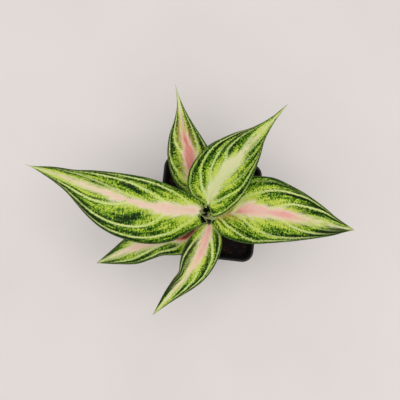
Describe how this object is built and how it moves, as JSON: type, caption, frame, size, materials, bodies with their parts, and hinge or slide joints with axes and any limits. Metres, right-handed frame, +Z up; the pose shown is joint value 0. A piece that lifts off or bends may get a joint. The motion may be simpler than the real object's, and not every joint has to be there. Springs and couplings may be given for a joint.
{
  "type": "potted aglaonema",
  "caption": "Young aglaonema with pink-ribbed, green and cream striped leaves, standing in a small square black nursery pot of soil.",
  "frame": {"origin": "centre of the pot's flat base, on the surface that it stands on", "axes": "+Z up, X and Y along the sides of the square pot, with the longest leaf pointing along -X"},
  "size_m": [0.2461, 0.1738, 0.1839],
  "materials": {
    "pot": "satin",
    "soil": "matte",
    "stem": "satin",
    "leaf": "satin"
  },
  "bodies": {
    "root": {"pot": "pot", "soil": "soil", "stem": "stem", "leaf_left": "leaf", "leaf_upper_right": "leaf", "leaf_right": "leaf", "leaf_bottom": "leaf", "leaf_top": "leaf", "leaf_lower_left": "leaf"}
  },
  "joints": []
}
